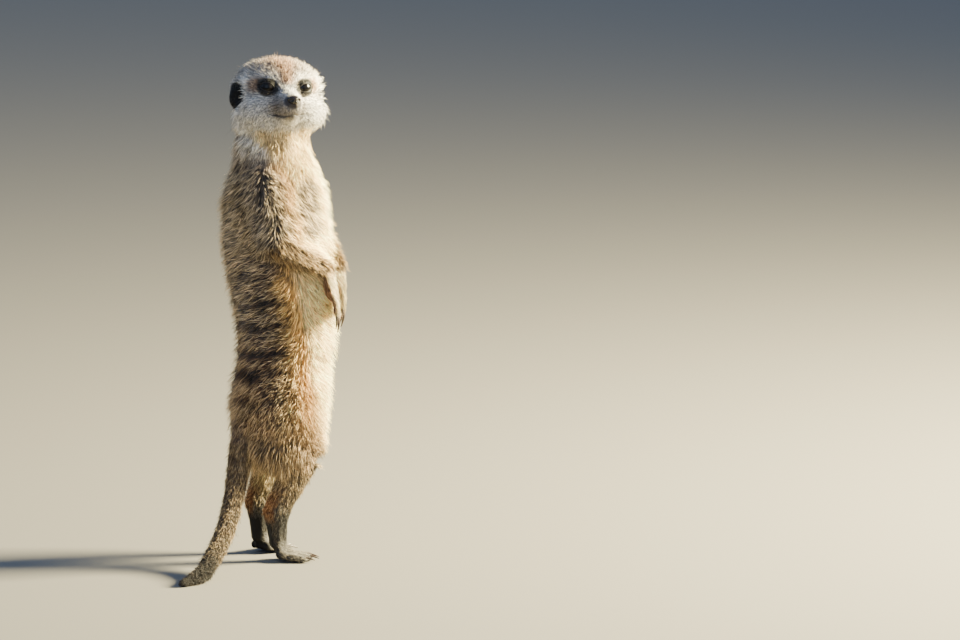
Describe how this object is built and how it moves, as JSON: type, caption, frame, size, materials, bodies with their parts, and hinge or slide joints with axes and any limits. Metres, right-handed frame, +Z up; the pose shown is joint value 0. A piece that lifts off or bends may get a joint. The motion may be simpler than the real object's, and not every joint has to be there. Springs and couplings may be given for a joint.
{
  "type": "meerkat",
  "caption": "Adult meerkat standing upright on its hind toes, propped by its tail, arms hanging in front and head turned over its right shoulder.",
  "frame": {"origin": "on the floor, under the middle of the figure's bounding box", "axes": "+Z up from the floor to the crown; +X the way the hips face; +Y towards the animal's left"},
  "size_m": [0.1444, 0.1244, 0.3308],
  "materials": {
    "body_coat": "grizzled buff and grey-brown fur with dark bands over the back",
    "limb_coat": "short buff fur",
    "face_coat": "short pale grey fur, dark round the eyes",
    "pale_coat": "cream fur",
    "dark_coat": "blackish brown fur",
    "ear": "black, thinly haired skin",
    "eye": "glossy, very dark brown",
    "nose": "moist dark bare skin",
    "claw": "dark horn"
  },
  "bodies": {
    "root": {"ear_right": "ear", "eye_right": "eye", "ear_left": "ear", "eye_left": "eye", "nose": "nose", "muzzle": "face_coat", "head": "face_coat", "forearm_right": "limb_coat", "hand_right": "pale_coat", "hand_claw_right_1": "claw", "hand_claw_right_2": "claw", "hand_claw_right_3": "claw", "hand_claw_right_4": "claw", "forearm_left": "limb_coat", "hand_left": "pale_coat", "hand_claw_left_1": "claw", "hand_claw_left_2": "claw", "hand_claw_left_3": "claw", "hand_claw_left_4": "claw", "tail_base": "body_coat", "tail_middle": "body_coat", "tail_tip": "dark_coat", "shank_right": "limb_coat", "foot_right": "limb_coat", "foot_claw_right_1": "claw", "foot_claw_right_2": "claw", "foot_claw_right_3": "claw", "foot_claw_right_4": "claw", "shank_left": "limb_coat", "foot_left": "limb_coat", "foot_claw_left_1": "claw", "foot_claw_left_2": "claw", "foot_claw_left_3": "claw", "foot_claw_left_4": "claw", "upper_arm_right": "body_coat", "thigh_right": "body_coat", "upper_arm_left": "body_coat", "thigh_left": "body_coat", "rump": "body_coat", "belly": "body_coat", "chest": "body_coat", "neck": "face_coat"}
  },
  "joints": []
}
